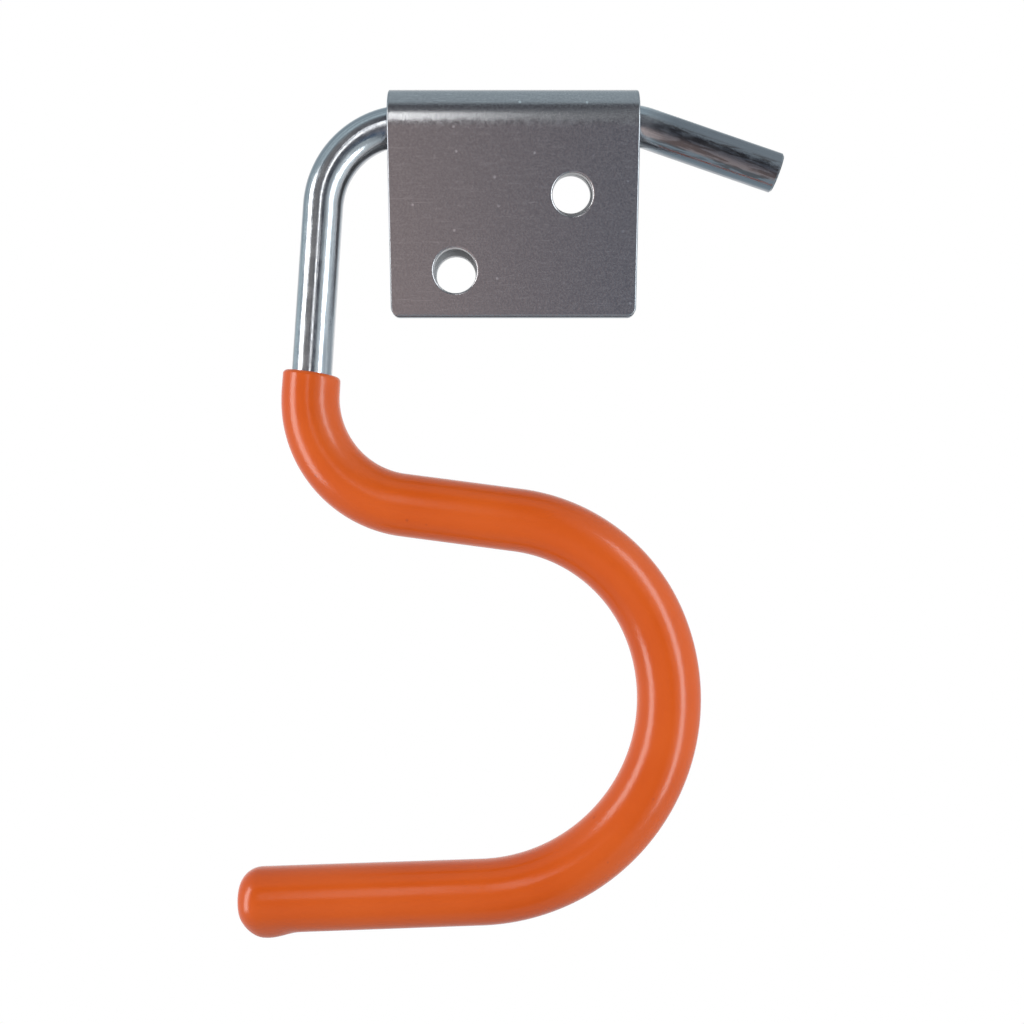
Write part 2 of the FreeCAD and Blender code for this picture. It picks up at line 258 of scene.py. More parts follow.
@dataclass(frozen=True)
class SharedEffects:
    """Shader groups that more than one finish uses."""

    mottle: NodeTree
    hairlines: NodeTree

    # Each noise's detail, and the part of its range that is spread from 0 to 1
    CLOUD_DETAIL = 4.0
    GRAIN_DETAIL = 3.0
    MOTTLE_SPAN = (0.3, 0.7)
    STREAK_DETAIL = 2.0
    STREAK_SPAN = (0.35, 0.65)
    MARK_DETAIL = 4.0
    MARK_SPAN = (0.56, 0.7)
    MARK_FINENESS = 2.7

    @classmethod
    def build(cls) -> "SharedEffects":
        """Build each shared group once."""
        return cls(mottle=cls.build_mottle(), hairlines=cls.build_hairlines())

    @staticmethod
    def noise(wiring: Wiring, place: Socket, scale: Socket, detail: float, span: Span) -> Socket:
        """Make noise and spread a part of its range, the span, from 0 to 1."""
        inputs = {"Vector": place, "Scale": scale, "Detail": detail}
        return wiring.step(wiring.add("ShaderNodeTexNoise", inputs).outputs["Fac"], *span)

    @classmethod
    def build_mottle(cls) -> NodeTree:
        """Build cloudy patches and a finer grain.

        Returns:
            The group, with a Cloud and a Grain, each from 0 to 1.
        """
        wiring, source, sink = new_group(
            "mottle",
            "ShaderNodeTree",
            {"Vector": Kind.VECTOR, "Cloud Scale": Kind.FLOAT, "Grain Scale": Kind.FLOAT},
            {"Cloud": Kind.FLOAT, "Grain": Kind.FLOAT},
        )
        place = source.outputs["Vector"]
        for name, detail in (("Cloud", cls.CLOUD_DETAIL), ("Grain", cls.GRAIN_DETAIL)):
            scale = source.outputs[f"{name} Scale"]
            wiring.feed(sink.inputs[name], cls.noise(wiring, place, scale, detail, cls.MOTTLE_SPAN))
        return wiring.tree

    @classmethod
    def build_hairlines(cls) -> NodeTree:
        """Build fine parallel marks that run along the vector's third axis.

        Returns:
            The group, with a soft Streak and a sharp Mark, each from 0 to 1.
        """
        wiring, source, sink = new_group(
            "hairlines",
            "ShaderNodeTree",
            {"Vector": Kind.VECTOR, "Across Scale": Kind.FLOAT, "Stretch": Kind.FLOAT},
            {"Streak": Kind.FLOAT, "Mark": Kind.FLOAT},
        )
        squeeze = wiring.add("ShaderNodeCombineXYZ", {0: 1.0, 1: 1.0, 2: source.outputs["Stretch"]})
        squeezed = wiring.add(
            "ShaderNodeVectorMath",
            {0: source.outputs["Vector"], 1: squeeze.outputs[0]},
            operation="MULTIPLY",
        )
        place = squeezed.outputs[0]
        broad = source.outputs["Across Scale"]
        streak = cls.noise(wiring, place, broad, cls.STREAK_DETAIL, cls.STREAK_SPAN)
        fine = wiring.product(broad, cls.MARK_FINENESS)
        mark = cls.noise(wiring, place, fine, cls.MARK_DETAIL, cls.MARK_SPAN)
        wiring.feed(sink.inputs["Streak"], streak)
        wiring.feed(sink.inputs["Mark"], mark)
        return wiring.tree


class Finish:
    """The start of every finish: a material with one principled shader."""

    def __init__(self, name: str, effects: SharedEffects) -> None:
        """Start the material and keep the shared effects."""
        self.effects = effects
        self.material = bpy.data.materials.new(name)
        self.material.use_nodes = True
        self.wiring = Wiring(self.material.node_tree)
        self.shader = self.material.node_tree.nodes["Principled BSDF"]

    def feed(self, name: str, value: object) -> None:
        """Link one of the shader's inputs, or set its own number if that is the same all over."""
        self.wiring.feed(self.shader.inputs[name], value)

    def object_place(self) -> Socket:
        """Read the object coordinates."""
        return self.wiring.add("ShaderNodeTexCoord").outputs["Object"]

    def straight_place(self) -> Socket:
        """Read the place on the straightened bar."""
        node = self.wiring.add("ShaderNodeAttribute", attribute_name=STRAIGHT_NAME)
        return node.outputs["Vector"]

    def mottle(self, place: Socket, cloud_scale: float, grain_scale: float) -> Node:
        """Place the shared mottle in the material, with the patches' scale and the grain's."""
        inputs = {"Vector": place, "Cloud Scale": cloud_scale, "Grain Scale": grain_scale}
        return self.wiring.add("ShaderNodeGroup", inputs, node_tree=self.effects.mottle)

    def hairlines(self, place: Socket, across_scale: float, stretch: float) -> Node:
        """Place the shared hairlines in the material; stretch is the share of scale along them."""
        inputs = {"Vector": place, "Across Scale": across_scale, "Stretch": stretch}
        return self.wiring.add("ShaderNodeGroup", inputs, node_tree=self.effects.hairlines)

    def bump(self, height: Socket, distance: float, strength: float) -> None:
        """Raise the surface by a height; distance is how far full height stands, in metres."""
        inputs = {"Height": height, "Distance": distance, "Strength": strength}
        self.feed("Normal", self.wiring.add("ShaderNodeBump", inputs).outputs["Normal"])


@dataclass(frozen=True)
class VinylLook:
    """Dipped vinyl: a semi-gloss orange with faint clouding and small specks."""

    deep: Linear = display(211, 84, 14)
    pale: Linear = display(219, 92, 20)
    roughness: Span = (0.20, 0.26)
    specular: float = 0.5
    cloud_scale: float = 38.0
    grain_scale: float = 900.0
    speck: Linear = display(188, 74, 30)
    speck_scale: float = 150.0
    speck_edge: Span = (0.03, 0.07)
    speck_share: float = 0.6
    grain_relief: float = 0.35
    bump_distance: float = 0.06 * MM
    bump_strength: float = 0.35

    def make(self, effects: SharedEffects) -> Material:
        """Build the material.

        Args:
            effects: The shared groups.

        Returns:
            The finished material.
        """
        finish = Finish(Slot.COAT.value, effects)
        wiring = finish.wiring
        place = finish.object_place()
        mottle = finish.mottle(place, self.cloud_scale, self.grain_scale)
        cloud = mottle.outputs["Cloud"]
        cells = wiring.add("ShaderNodeTexVoronoi", {"Vector": place, "Scale": self.speck_scale})
        dot = wiring.step(cells.outputs["Distance"], *self.speck_edge, self.speck_share, 0.0)
        body = wiring.tint(cloud, self.deep, self.pale)
        finish.feed("Base Color", wiring.tint(dot, body, self.speck))
        finish.feed("Roughness", wiring.spread(cloud, self.roughness))
        finish.feed("Specular IOR Level", self.specular)
        grain = wiring.product(mottle.outputs["Grain"], self.grain_relief)
        relief = wiring.compute(Operation.ADD, cloud, grain)
        finish.bump(relief, self.bump_distance, self.bump_strength)
        return finish.material


@dataclass(frozen=True)
class RodLook:
    """Bright zinc on drawn rod: long streaks, fine draw marks and a darker, scuffed tail."""

    bright: Linear = display(214, 217, 220)
    dull: Linear = display(170, 174, 180)
    roughness: Span = (0.15, 0.24)
    cloud_scale: float = 420.0
    grain_scale: float = 2400.0
    grain_share: float = 0.35
    across_scale: float = 900.0
    stretch: float = 0.03
    mark: Linear = display(92, 86, 86)
    mark_share: float = 0.3
    # The tail's darker, bluer colour
    dulled: Linear = display(137, 143, 151)
    dulled_share: float = 0.85
    tail_end: Span = (22.0 * MM, 30.0 * MM)
    scuff_scale: float = 1500.0
    scuff_stretch: float = 0.14
    scuff_edge: Span = (0.2, 0.8)
    scuff_share: float = 0.7
    scuff_top: Span = (0.9 * MM, 1.5 * MM)
    scuff_low: Span = (-3.5 * MM, -3.0 * MM)
    grain_relief: float = 0.4
    bump_distance: float = 0.04 * MM
    bump_strength: float = 0.25

    def make(self, effects: SharedEffects) -> Material:
        """Build the material.

        Args:
            effects: The shared groups.

        Returns:
            The finished material.
        """
        finish = Finish(Slot.ROD.value, effects)
        wiring = finish.wiring
        finish.feed("Metallic", 1.0)
        place = finish.straight_place()
        lines = finish.hairlines(place, self.across_scale, self.stretch)
        streak = lines.outputs["Streak"]
        scuffs = finish.hairlines(place, self.scuff_scale, self.scuff_stretch)
        mottle = finish.mottle(place, self.cloud_scale, self.grain_scale)
        grain = mottle.outputs["Grain"]
        axes = wiring.add("ShaderNodeSeparateXYZ", {0: place})
        tail = wiring.fall(axes.outputs["Z"], *self.tail_end)
        scuffed = wiring.product(
            wiring.step(scuffs.outputs["Streak"], *self.scuff_edge),
            wiring.fall(axes.outputs["Y"], *self.scuff_top),
            wiring.step(axes.outputs["Y"], *self.scuff_low),
            tail,
            self.scuff_share,
        )
        drawn = wiring.product(lines.outputs["Mark"], self.mark_share)
        layers = (
            (wiring.product(grain, self.grain_share), self.dull),
            # the tail turns darker and bluer
            (wiring.product(tail, self.dulled_share), self.dulled),
            (wiring.highest(drawn, scuffed), self.mark),
        )
        colour = wiring.tint(streak, self.dull, self.bright)
        for mask, layer in layers:
            colour = wiring.tint(mask, colour, layer)
        finish.feed("Base Color", colour)
        finish.feed("Roughness", wiring.spread(mottle.outputs["Cloud"], self.roughness))
        relief = wiring.compute(Operation.ADD, streak, wiring.product(grain, self.grain_relief))
        finish.bump(relief, self.bump_distance, self.bump_strength)
        return finish.material


@dataclass(frozen=True)
class PlateSpot:
    """Sockets that tell where on the plate a point is.

    Across runs from the free edge to the fold, away is the way into the wall, along runs the
    plate's length, end is its distance from mid-length, and above is the height along the
    front leaf's normal.
    """

    across: Socket
    away: Socket
    along: Socket
    end: Socket
    above: Socket


@dataclass(frozen=True)
class PlateLook:
    """Dull zinc on rolled sheet: fine grain, rubbed edges, a painted highlight band on the fold and
    painted light lifting the shade between the leaves.
    """

    bright: Linear = display(188, 186, 188)
    dull: Linear = display(173, 171, 174)
    roughness: Span = (0.215, 0.255)
    grain_scale: float = 2800.0
    bump_distance: float = 0.03 * MM
    bump_strength: float = 0.17
    line_scale: float = 1500.0
    line_stretch: float = 0.06
    line_share: float = 0.22
    speck: Linear = display(235, 236, 238)
    speck_scale: float = 210.0
    speck_edge: Span = (0.03, 0.08)
    speck_chance: Span = (0.70, 0.95)
    speck_share: float = 0.8

    # The plate's own places
    half_length: float = 24.8 * MM
    free_edge: float = -16.8 * MM
    leaf_top: Span = (12.0 * MM, 15.0 * MM)
    leaf_normal: Triple = (-0.25949, -0.96575, 0.0)
    leaf_offset: float = 7.97 * MM

    # Rubbed edges
    rubbed: Linear = display(160, 164, 170)
    rub_width: float = 0.6 * MM
    rub_and_lift_roughness: float = 0.45

    # A brighter band painted where the fold's highlight falls, with a ragged lower edge: a painted
    # highlight
    painted_highlight: Linear = display(211, 212, 213)
    highlight_low: Span = (18.7 * MM, 20.5 * MM)
    highlight_high: Span = (21.6 * MM, 23.0 * MM)
    highlight_back: Span = (-10.0 * MM, -8.0 * MM)
    ragged_scale: float = 700.0
    ragged_reach: Span = (-0.6 * MM, 0.6 * MM)

    # Lighter, less metallic colour between the leaves and in the holes: painted light that lifts
    # their shade
    painted_lift: Linear = display(196, 196, 198)
    lift_share: float = 0.85
    lift_depth: Span = (0.5 * MM, 0.1 * MM)
    lift_margin: Span = (0.6 * MM, 2.2 * MM)
    lift_back: Span = (-0.6 * MM, -0.1 * MM)

    def locate(self, wiring: Wiring, place: Socket) -> PlateSpot:
        """Split the object coordinates into the plate's own directions.

        Args:
            wiring: The material's wiring.
            place: The object coordinates.

        Returns:
            The sockets.
        """
        axes = wiring.add("ShaderNodeSeparateXYZ", {0: place})
        above = wiring.add(
            "ShaderNodeVectorMath", {0: place, 1: self.leaf_normal}, operation="DOT_PRODUCT"
        )
        return PlateSpot(
            across=axes.outputs["X"],
            away=axes.outputs["Y"],
            along=axes.outputs["Z"],
            end=wiring.compute(Operation.ABSOLUTE, axes.outputs["Z"]),
            above=above.outputs["Value"],
        )

    def specks(self, wiring: Wiring, spot: PlateSpot) -> Socket:
        """Scatter small bright specks over the plate's length and width.

        Args:
            wiring: The material's wiring.
            spot: Where the point is.

        Returns:
            The mask's socket, from 0 to the specks' share.
        """
        flat = wiring.add("ShaderNodeCombineXYZ", {0: spot.across, 1: spot.along})
        cells = wiring.add(
            "ShaderNodeTexVoronoi",
            {"Vector": flat.outputs[0], "Scale": self.speck_scale},
            voronoi_dimensions="2D",
        )
        dot = wiring.fall(cells.outputs["Distance"], *self.speck_edge)
        chance = wiring.add("ShaderNodeSeparateColor", {0: cells.outputs["Color"]}).outputs[0]
        return wiring.product(dot, wiring.step(chance, *self.speck_chance, 0.0, self.speck_share))

    def rub(self, wiring: Wiring, spot: PlateSpot) -> Socket:
        """Mask the rubbed ends and free edge.

        Args:
            wiring: The material's wiring.
            spot: Where the point is.

        Returns:
            The mask's socket, from 0 to 1.
        """
        ends = wiring.step(spot.end, self.half_length - self.rub_width, self.half_length)
        free = wiring.fall(spot.across, self.free_edge, self.free_edge + self.rub_width)
        return wiring.highest(ends, free)

    def highlight_band(self, wiring: Wiring, spot: PlateSpot, cloud: Socket) -> Socket:
        """Mask the painted highlight band along the front of the fold, where its highlight falls.

        Args:
            wiring: The material's wiring.
            spot: Where the point is.
            cloud: Patches from 0 to 1 that make the lower edge ragged.

        Returns:
            The mask's socket, from 0 to 1.
        """
        sway = wiring.spread(cloud, self.ragged_reach)
        return wiring.product(
            wiring.step(wiring.compute(Operation.ADD, spot.across, sway), *self.highlight_low),
            wiring.fall(spot.across, *self.highlight_high),
            wiring.fall(spot.away, *self.highlight_back),
        )

    def lifted_inside(self, wiring: Wiring, spot: PlateSpot) -> Socket:
        """Mask the painted light that lifts the shade between the leaves and in the holes.

        Args:
            wiring: The material's wiring.
            spot: Where the point is.

        Returns:
            The mask's socket, from 0 to 1.
        """
        depths = [self.leaf_offset - depth for depth in self.lift_depth]
        edge = [self.free_edge + margin for margin in self.lift_margin]
        return wiring.product(
            wiring.fall(spot.above, *depths),
            wiring.fall(spot.across, *self.leaf_top),
            wiring.step(spot.across, *edge),
            wiring.fall(spot.away, *self.lift_back),
        )

    def make(self, effects: SharedEffects) -> Material:
        """Build the material.

        Args:
            effects: The shared groups.

        Returns:
            The finished material.
        """
        finish = Finish(Slot.PLATE.value, effects)
        wiring = finish.wiring
        place = finish.object_place()
        spot = self.locate(wiring, place)
        mottle = finish.mottle(place, self.ragged_scale, self.grain_scale)
        grain = mottle.outputs["Grain"]
        rolled = finish.hairlines(place, self.line_scale, self.line_stretch)
        rub = self.rub(wiring, spot)
        lifted_inside = self.lifted_inside(wiring, spot)
        layers = (
            (wiring.product(rolled.outputs["Mark"], self.line_share), self.speck),
            (self.specks(wiring, spot), self.speck),
            # painted highlight: a brighter band where the fold's highlight falls
            (self.highlight_band(wiring, spot, mottle.outputs["Cloud"]), self.painted_highlight),
            (rub, self.rubbed),
            # painted light: a lighter colour that lifts the shade between the leaves and in the
            # holes
            (lifted_inside, self.painted_lift),
        )
        colour = wiring.tint(grain, self.dull, self.bright)
        for mask, layer in layers:
            colour = wiring.tint(mask, colour, layer)
        finish.feed("Base Color", colour)
        # the painted light also makes those places less metallic
        lifted_matte = wiring.product(lifted_inside, self.lift_share)
        finish.feed("Metallic", wiring.compute(Operation.SUBTRACT, 1.0, lifted_matte))
        # rougher at the rubbed edges and where the painted light lifts the shade
        dulled = wiring.product(wiring.highest(rub, lifted_inside), self.rub_and_lift_roughness)
        finish.feed("Roughness", wiring.highest(wiring.spread(grain, self.roughness), dulled))
        finish.bump(grain, self.bump_distance, self.bump_strength)
        return finish.material


@dataclass(frozen=True)
class Run:
    """One piece of a bent bar's centreline: a straight length, or a bend to a new heading."""

    length: float = 0.0
    radius: float = 0.0
    heading: float = 0.0


@dataclass(frozen=True)
class Station:
    """A place on a bar's centreline, with the bar's radius there."""

    place: Vector
    length: float
    radius: float


def toward(heading: float) -> Vector:
    """Give the unit vector of a heading, which is measured from +Z towards -X."""
    angle = math.radians(heading)
    return Vector((-math.sin(angle), 0.0, math.cos(angle)))


@dataclass
class BarRoute:
    """A bent bar's centreline, in millimetres, in a plane parallel to the wall."""

    start: Vector
    heading: float
    runs: list[Run]

    @property
    def total(self) -> float:
        """Add up the runs' lengths."""
        heading = self.heading
        total = 0.0
        for run in self.runs:
            if run.radius:
                total += math.radians(abs(run.heading - heading)) * run.radius
                heading = run.heading
            else:
                total += run.length
        return total

    def at(self, length: float) -> Vector:
        """Find the place at a length from the start.

        Args:
            length: The length along the centreline.

        Returns:
            The place there; past the last run it goes straight on.
        """
        here = self.start.copy()
        heading = self.heading
        for run in self.runs:
            if not run.radius:
                if length <= run.length:
                    return here + toward(heading) * length
                here += toward(heading) * run.length
                length -= run.length
                continue
            turn = run.heading - heading
            side = math.copysign(90, turn)
            centre = here + toward(heading + side) * run.radius
            span = math.radians(abs(turn)) * run.radius
            if length <= span:
                there = heading + turn * length / span
                return centre - toward(there + side) * run.radius
            here = centre - toward(run.heading + side) * run.radius
            heading = run.heading
            length -= span
        return here + toward(heading) * length


class SweptBar:
    """Sweeps a round section along a route with Geometry Nodes."""

    SIDES = 72
    SHARP_ANGLE = 30.0

    @staticmethod
    def finish_tree(wiring: Wiring, shape: Socket, source: Node, sink: Node) -> None:
        """Realize a tree's shape, set its material and hand it on.

        Args:
            wiring: The tree's wiring.
            shape: The shape's socket.
            source: The tree's input node.
            sink: The tree's output node.
        """
        whole = wiring.add("GeometryNodeRealizeInstances", {"Geometry": shape})
        dressed = wiring.add(
            "GeometryNodeSetMaterial",
            {"Geometry": whole.outputs[0], "Material": source.outputs["Finish"]},
        )
        wiring.feed(sink.inputs["Geometry"], dressed.outputs[0])

    @classmethod
    def build_tree(cls) -> NodeTree:
        """Build the tree that turns a chain of stations into a round bar.

        Returns:
            The tree, with Path, Sides and Finish inputs.
        """
        wiring, source, sink = new_group(
            "round_bar",
            "GeometryNodeTree",
            {"Path": Kind.GEOMETRY, "Sides": Kind.INTEGER, "Finish": Kind.MATERIAL},
            {"Geometry": Kind.GEOMETRY},
        )
        radius = wiring.attribute(RADIUS_NAME)
        curve = wiring.add("GeometryNodeMeshToCurve", {"Mesh": source.outputs["Path"]})
        turned = wiring.add(
            "GeometryNodeSetCurveNormal",
            {"Curve": curve.outputs[0], "Normal": OUT_OF_WALL},
            mode="FREE",
        )
        circle = wiring.add(
            "GeometryNodeCurvePrimitiveCircle",
            {"Resolution": source.outputs["Sides"], "Radius": 1.0},
        )
        capture = wiring.add("GeometryNodeCaptureAttribute")
        capture.capture_items.new("VECTOR", "Spot")
        wiring.feed(capture.inputs["Geometry"], circle.outputs["Curve"])
        wiring.feed(capture.inputs["Spot"], wiring.add("GeometryNodeInputPosition").outputs[0])
        swept = wiring.add(
            "GeometryNodeCurveToMesh",
            {
                "Curve": turned.outputs[0],
                "Profile Curve": capture.outputs["Geometry"],
                "Scale": radius,
                "Fill Caps": True,
            },
        )
        spot = wiring.add(
            "ShaderNodeVectorMath",
            {0: capture.outputs["Spot"], "Scale": radius},
            operation="SCALE",
        )
        parts = wiring.add("ShaderNodeSeparateXYZ", {0: spot.outputs[0]})
        straight = wiring.add(
            "ShaderNodeCombineXYZ",
            {0: parts.outputs[0], 1: parts.outputs[1], 2: wiring.attribute(LENGTH_NAME)},
        )
        stored = wiring.add(
            "GeometryNodeStoreNamedAttribute",
            {"Geometry": swept.outputs[0], "Name": STRAIGHT_NAME, "Value": straight.outputs[0]},
            data_type="FLOAT_VECTOR",
            domain="POINT",
        )
        cls.finish_tree(wiring, stored.outputs[0], source, sink)
        return wiring.tree

    @staticmethod
    def chain(name: str, stations: list[Station]) -> Object:
        """Make the chain of edges that the tree sweeps along.

        Args:
            name: The object's name.
            stations: The stations, in millimetres.

        Returns:
            The new object, linked to the scene.
        """
        mesh = bpy.data.meshes.new(name)
        points = [station.place * MM for station in stations]
        edges = [(index, index + 1) for index in range(len(points) - 1)]
        mesh.from_pydata(points, edges, [])
        for label, key in ((LENGTH_NAME, "length"), (RADIUS_NAME, "radius")):
            attribute = mesh.attributes.new(label, "FLOAT", "POINT")
            for item, station in zip(attribute.data, stations):
                item.value = getattr(station, key) * MM
        return link(bpy.data.objects.new(name, mesh))

    @classmethod
    def apply(cls, piece: Object, tree: NodeTree, inputs: dict) -> None:
        """Run a tree on a piece and keep the result as a plain smooth mesh.

        Args:
            piece: The object that the tree runs on.
            tree: The geometry tree.
            inputs: The tree's input names and values.
        """
        modifier = piece.modifiers.new(tree.name, "NODES")
        modifier.node_group = tree
        for item in tree.interface.items_tree:
            if item.item_type == "SOCKET" and item.in_out == "INPUT" and item.name in inputs:
                modifier[item.identifier] = inputs[item.name]
        depsgraph = bpy.context.evaluated_depsgraph_get()
        mesh = bpy.data.meshes.new_from_object(piece.evaluated_get(depsgraph))
        piece.modifiers.remove(modifier)
        piece.data = mesh
        mesh.name = piece.name
        mesh.shade_smooth()
        mesh.set_sharp_from_angle(angle=math.radians(cls.SHARP_ANGLE))


@dataclass
class BentRod:
    """The zinc-plated rod, from its tail through the plate's eye to the hidden tip.

    Lengths are in millimetres and headings in degrees.
    """

    radius: float = 4.0
    pivot_offset: float = 20.8
    pivot_height: float = 6.8
    pivot_low: float = -23.2
    pivot_run: float = 44.1
    tail_length: float = 27.8
    tail_heading: float = -19.1
    tail_bend: float = 10.0
    stem_bend: float = 17.2
    stem_heading: float = 86.2
    bare_stem: float = 33.6
    coated_stem: float = 3.8
    elbow: float = 21.3
    arm_heading: float = 172.5
    arm_length: float = 23.2
    upper_bow: float = 34.3
    bow_heading: float = 112.1
    lower_bow: float = 38.7
    tip_heading: float = 2.0
    tip_run: float = 45.6
    end_chamfer: float = 0.4
    step: float = 0.6

    def bow(self, extra: float = 0.0) -> list[Run]:
        """List the runs below the collar, with the last one longer by an extra length."""
        return [
            Run(length=self.coated_stem),
            Run(radius=self.elbow, heading=self.arm_heading),
            Run(length=self.arm_length),
            Run(radius=self.upper_bow, heading=self.bow_heading),
            Run(radius=self.lower_bow, heading=self.tip_heading),
            Run(length=self.tip_run + extra),
        ]

    def upper(self) -> list[Run]:
        """List the runs from the pivot to the collar."""
        return [
            Run(length=self.pivot_run),
            Run(radius=self.stem_bend, heading=self.stem_heading),
            Run(length=self.bare_stem),
        ]

    def pivot_start(self) -> Vector:
        """Give the low end of the straight run in the eye."""
        return Vector((self.pivot_offset, -self.pivot_height, self.pivot_low))

    def route(self) -> BarRoute:
        """Lay out the whole rod.

        Returns:
            Its centreline, from the tail's end.
        """
        centre = self.pivot_start() - Vector((self.tail_bend, 0.0, 0.0))
        bend_start = centre - toward(self.tail_heading + 90) * self.tail_bend
        start = bend_start - toward(self.tail_heading) * self.tail_length
        tail = [Run(length=self.tail_length), Run(radius=self.tail_bend, heading=0.0)]
        return BarRoute(start, self.tail_heading, tail + self.upper() + self.bow())

    def collar(self) -> Vector:
        """Give the place where the coat begins."""
        upper = BarRoute(self.pivot_start(), 0.0, self.upper())
        return upper.at(upper.total)

    def stations(self) -> list[Station]:
        """Space stations along the rod, with a small chamfer at the tail.

        Returns:
            The stations, from the tail's end.
        """
        route = self.route()
        span = route.total - self.end_chamfer
        count = math.ceil(span / self.step)
        lengths = [self.end_chamfer + span * index / count for index in range(count + 1)]
        first = Station(route.at(0.0), 0.0, self.radius - self.end_chamfer)
        return [first] + [Station(route.at(length), length, self.radius) for length in lengths]

    def build(self, tree: NodeTree, finish: Material) -> Object:
        """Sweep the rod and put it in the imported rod's place.

        Args:
            tree: The bar tree.
            finish: The rod's material.

        Returns:
            The finished piece.
        """
        piece = SweptBar.chain("bent_rod", self.stations())
        SweptBar.apply(piece, tree, {"Sides": SweptBar.SIDES, "Finish": finish})
        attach(piece, Body.HOOK.value)
        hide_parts(Solid.ROD.value)
        return piece


@dataclass
class DippedCoat:
    """The vinyl coat: a thickening wall, a slanted lip, a round end and a drip.

    Lengths are in millimetres and the slant is in degrees.
    """

    rod: BentRod
    collar_wall: float = 1.7
    arm_wall: float = 2.3
    tip_wall: float = 2.5
    lip_radius: float = 0.9
    tip_cover: float = 2.9
    tip_round: float = 4.6
    slant: float = 4.5
    slant_fade: float = 9.0
    drip_drop: float = 1.1
    drip_place: Triple = (-141.0, -6.8, 48.6)
    drip_reach: Triple = (6.5, 6.0, 6.6)
    step: float = 0.7
    round_steps: int = 14

    def route(self) -> BarRoute:
        """Give the coat's centreline, from its collar past the rod's tip."""
        return BarRoute(self.rod.collar(), self.rod.stem_heading, self.rod.bow(self.tip_cover))

    def wall(self, length: float, elbow_end: float, total: float) -> float:
        """Work out the coat's wall at a length from the collar.

        Args:
            length: The length from the collar.
            elbow_end: The length at which the arm begins.
            total: The whole length.

        Returns:
            The wall, in millimetres.
        """
        if length < elbow_end:
            return self.collar_wall + (self.arm_wall - self.collar_wall) * length / elbow_end
        share = (length - elbow_end) / (total - elbow_end)
        return self.arm_wall + (self.tip_wall - self.arm_wall) * share

    @staticmethod
    def drawn_in(round_radius: float, past: float) -> float:
        """Work out how far a rounded end has drawn in, at a length past where it begins."""
        return round_radius - math.sqrt(max(round_radius**2 - past**2, 0.0))

    def stations(self) -> list[Station]:
        """Space stations along the coat, close together at the lip and the round tip.

        Returns:
            The stations, from the collar.
        """
        route = self.route()
        total = route.total
        elbow_end = BarRoute(route.start, route.heading, route.runs[:2]).total
        quarter = [math.pi / 2 * index / self.round_steps for index in range(self.round_steps + 1)]
        lip = [self.lip_radius * (1 - math.cos(angle)) for angle in quarter]
        tip = [total - self.tip_round * (1 - math.sin(angle)) for angle in quarter]
        span = tip[0] - lip[-1]
        count = math.ceil(span / self.step)
        middle = [lip[-1] + span * index / count for index in range(1, count)]
        stations = []
        for length in lip + middle + tip:
            radius = self.rod.radius + self.wall(length, elbow_end, total)
            if length < self.lip_radius:
                radius -= self.drawn_in(self.lip_radius, self.lip_radius - length)
            if length > tip[0]:
                radius -= self.drawn_in(self.tip_round, length - tip[0])
            stations.append(Station(route.at(length), length, radius))
        return stations

    @staticmethod
    def build_tree(bar: NodeTree) -> NodeTree:
        """Build the tree that sweeps the coat, slants its lip and lets its drip down.

        Args:
            bar: The bar tree, used as a group.

        Returns:
            The coat's tree.
        """
        wiring, source, sink = new_group(
            "dipped_coat",
            "GeometryNodeTree",
            {
                "Path": Kind.GEOMETRY,
                "Sides": Kind.INTEGER,
                "Finish": Kind.MATERIAL,
                "Slant": Kind.FLOAT,
                "Slant Fade": Kind.FLOAT,
                "Collar Height": Kind.FLOAT,
                "Drip Drop": Kind.FLOAT,
                "Drip Place": Kind.VECTOR,
                "Drip Reach": Kind.VECTOR,
            },
            {"Geometry": Kind.GEOMETRY},
        )
        handed_on = {name: source.outputs[name] for name in ("Path", "Sides", "Finish")}
        swept = wiring.add("GeometryNodeGroup", handed_on, node_tree=bar)
        position = wiring.add("GeometryNodeInputPosition").outputs[0]
        axes = wiring.add("ShaderNodeSeparateXYZ", {0: position})

        # The lip leans along the bar, less and less away from it
        fade = wiring.fall(wiring.attribute(LENGTH_NAME), 0.0, source.outputs["Slant Fade"])
        aside = wiring.compute(
            Operation.SUBTRACT, axes.outputs["Z"], source.outputs["Collar Height"]
        )
        slant = wiring.product(aside, source.outputs["Slant"], fade)

        # The drip hangs lower the nearer a point is to its middle
        offset = wiring.add(
            "ShaderNodeVectorMath",
            {0: position, 1: source.outputs["Drip Place"]},
            operation="SUBTRACT",
        )
        share = wiring.add(
            "ShaderNodeVectorMath",
            {0: offset.outputs[0], 1: source.outputs["Drip Reach"]},
            operation="DIVIDE",
        )
        apart = wiring.add("ShaderNodeVectorMath", {0: share.outputs[0]}, operation="LENGTH")
        near = wiring.fall(apart.outputs["Value"], 0.0, 1.0)
        drop = wiring.product(near, source.outputs["Drip Drop"])

        rise = wiring.compute(Operation.SUBTRACT, slant, drop)
        shift = wiring.add("ShaderNodeCombineXYZ", {0: rise})
        moved = wiring.add(
            "GeometryNodeSetPosition",
            {"Geometry": swept.outputs[0], "Offset": shift.outputs[0]},
        )
        SweptBar.finish_tree(wiring, moved.outputs[0], source, sink)
        return wiring.tree

